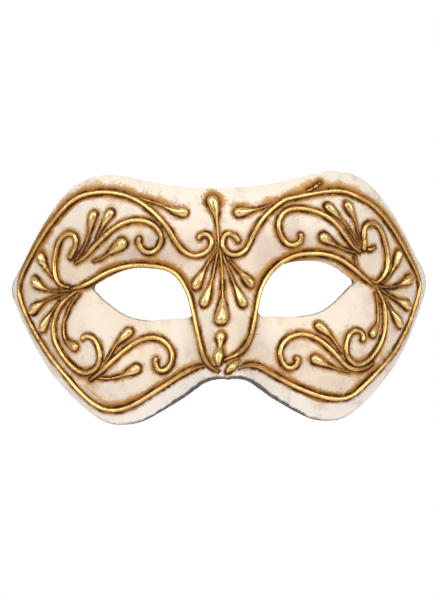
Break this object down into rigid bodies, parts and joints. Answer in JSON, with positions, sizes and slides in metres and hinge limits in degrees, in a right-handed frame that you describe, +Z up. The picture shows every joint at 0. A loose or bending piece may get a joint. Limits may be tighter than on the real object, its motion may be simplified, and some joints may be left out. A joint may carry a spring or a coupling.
{
  "type": "half mask",
  "caption": "Papier-mache carnival half mask with gilt relief scrollwork, an inner lining and ribbon tabs at the temples.",
  "frame": {"origin": "where the wearer's nose bridge touches the lining, on the mid-plane and on the line of the eyes", "axes": "+Z up, the front of the mask faces -Y, +X to the right as seen from in front"},
  "size_m": [0.1706, 0.068, 0.1016],
  "materials": {
    "gesso_shell": "satin",
    "gilding": "satin",
    "felt_lining": "matte",
    "tab_paper": "matte"
  },
  "bodies": {
    "root": {"centre_fan_1": "gilding", "centre_fan_2": "gilding", "centre_fan_3": "gilding", "centre_fan_4": "gilding", "centre_fan_5": "gilding", "crest_drop": "gilding", "inner_lining": "felt_lining", "left_border_bead": "gilding", "left_brow_drop": "gilding", "left_eye_bead": "gilding", "left_lower_drop_a": "gilding", "left_lower_drop_b": "gilding", "left_lower_scroll": "gilding", "left_lower_stem": "gilding", "left_short_drop": "gilding", "left_temple_fan_1": "gilding", "left_temple_fan_2": "gilding", "left_temple_fan_3": "gilding", "left_temple_fan_4": "gilding", "left_temple_hook": "gilding", "left_tie_tab": "tab_paper", "left_upper_drop_a": "gilding", "left_upper_drop_b": "gilding", "left_upper_drop_c": "gilding", "left_upper_scroll": "gilding", "mask_shell": "gesso_shell", "nose_drop": "gilding", "right_border_bead": "gilding", "right_border_wisp": "gilding", "right_brow_drop": "gilding", "right_eye_bead": "gilding", "right_hook_stub": "gilding", "right_lower_drop_a": "gilding", "right_lower_drop_b": "gilding", "right_lower_scroll": "gilding", "right_lower_stem": "gilding", "right_nose_leaf": "gilding", "right_short_drop": "gilding", "right_temple_fan_1": "gilding", "right_temple_fan_2": "gilding", "right_temple_fan_3": "gilding", "right_temple_fan_4": "gilding", "right_temple_hook": "gilding", "right_temple_link": "gilding", "right_tie_tab": "tab_paper", "right_upper_drop_a": "gilding", "right_upper_drop_b": "gilding", "right_upper_drop_c": "gilding", "right_upper_scroll": "gilding"}
  },
  "joints": []
}
